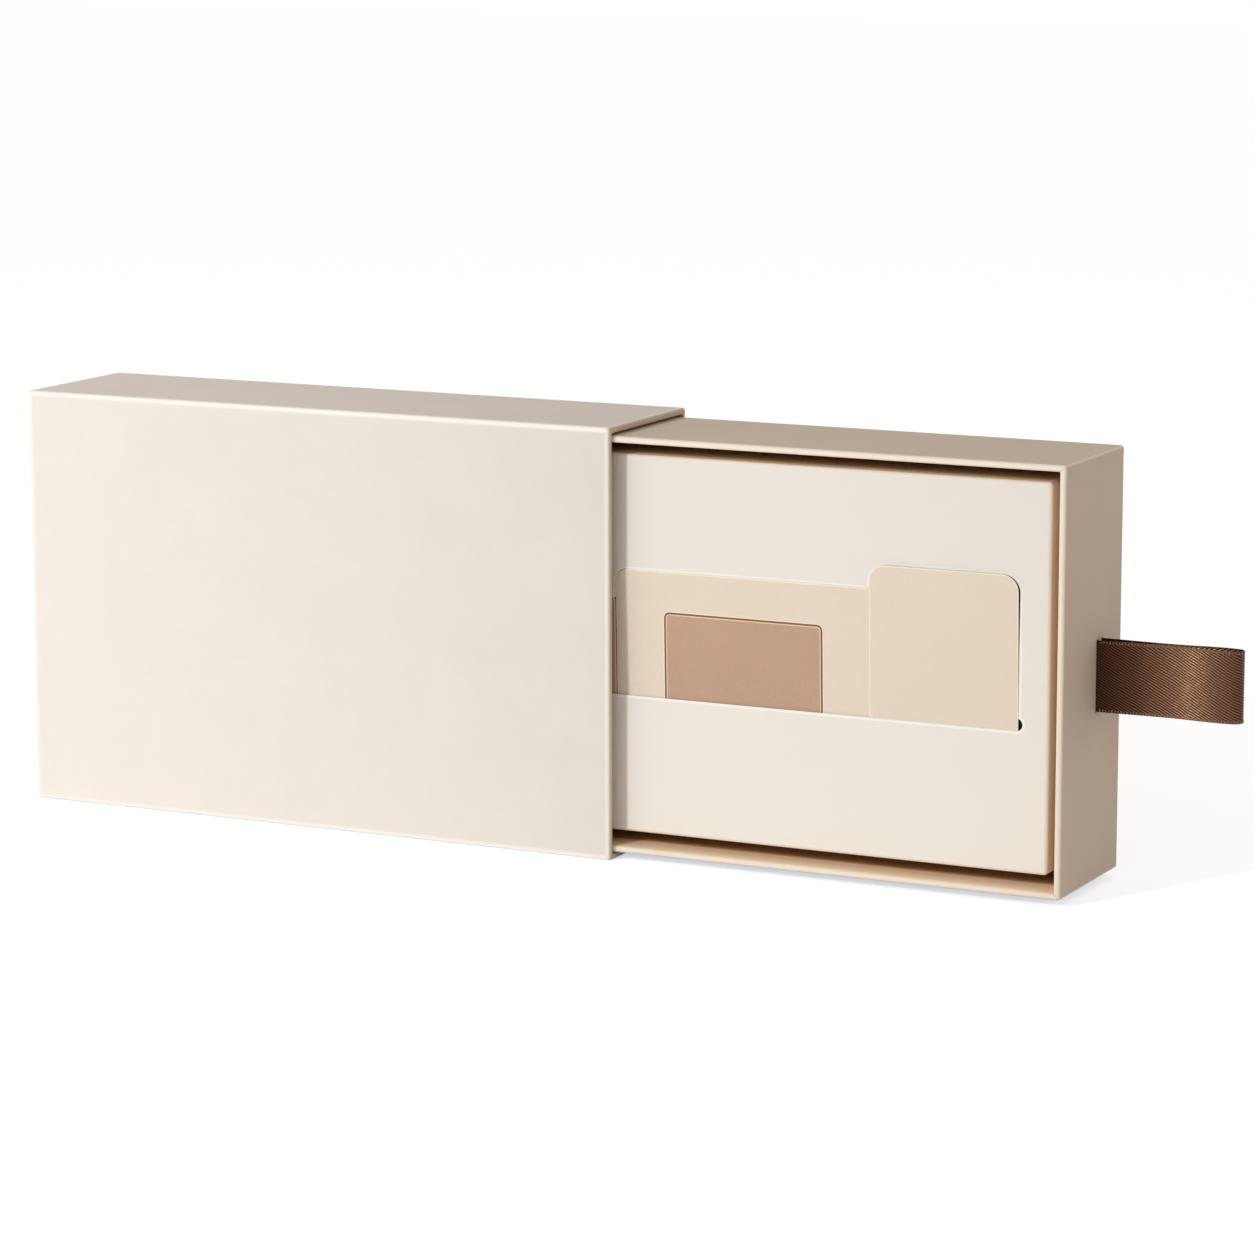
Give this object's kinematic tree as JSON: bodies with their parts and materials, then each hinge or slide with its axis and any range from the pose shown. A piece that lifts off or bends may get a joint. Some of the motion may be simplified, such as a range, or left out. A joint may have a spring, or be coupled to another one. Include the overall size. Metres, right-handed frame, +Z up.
{
  "type": "sliding drawer gift box",
  "caption": "Rigid paper-covered sleeve with a tray drawer that slides out on a ribbon loop and shows cards standing in a slotted platform.",
  "frame": {"origin": "centre of the sleeve's underside, on the surface that the box stands on", "axes": "+X the way the drawer pulls out, -Y the side that the drawer's open face looks to, +Z up"},
  "size_m": [0.4628, 0.062, 0.155],
  "materials": {
    "greyboard": "matte",
    "cream_paper": "matte",
    "sleeve_lining_paper": "matte",
    "beige_paper": "matte",
    "drawer_lining_paper": "matte",
    "cream_card": "matte",
    "beige_card": "matte",
    "tan_card_stock": "matte",
    "brown_paper": "matte",
    "satin_ribbon": "satin"
  },
  "bodies": {
    "sleeve": {"sleeve_front_board": "greyboard", "sleeve_back_board": "greyboard", "sleeve_top_board": "greyboard", "sleeve_bottom_board": "greyboard", "sleeve_end_board": "greyboard", "sleeve_wrap": "cream_paper", "sleeve_lining": "sleeve_lining_paper"},
    "drawer": {"drawer_top_board": "greyboard", "drawer_bottom_board": "greyboard", "drawer_pull_end_board": "greyboard", "drawer_rear_end_board": "greyboard", "drawer_back_board": "greyboard", "drawer_wrap": "beige_paper", "drawer_lining": "drawer_lining_paper", "ribbon_pull": "satin_ribbon", "ribbon_patch": "drawer_lining_paper", "platform_panel": "cream_card", "platform_sides": "cream_card", "platform_glue_flaps": "cream_card", "platform_ribs": "cream_card", "card_pocket": "beige_card"},
    "wide_card": {"wide_card": "beige_card", "tan_card": "tan_card_stock", "card_backing": "brown_paper"},
    "tall_card": {"tall_card": "beige_card"},
    "left_card": {"left_card": "tan_card_stock"}
  },
  "joints": [
    {"name": "drawer_slide", "type": "slide", "parent": "sleeve", "child": "drawer", "axis": [1, 0, 0], "range_m": [-0.1688, 0.0766]},
    {"name": "wide_card_slide", "type": "slide", "parent": "drawer", "child": "wide_card", "axis": [0, -0.0305, 0.9995], "range_m": [0, 0.0443]},
    {"name": "tall_card_slide", "type": "slide", "parent": "drawer", "child": "tall_card", "axis": [0, -0.0305, 0.9995], "range_m": [0, 0.0358]},
    {"name": "left_card_slide", "type": "slide", "parent": "drawer", "child": "left_card", "axis": [0, -0.0305, 0.9995], "range_m": [0, 0.0545]}
  ]
}
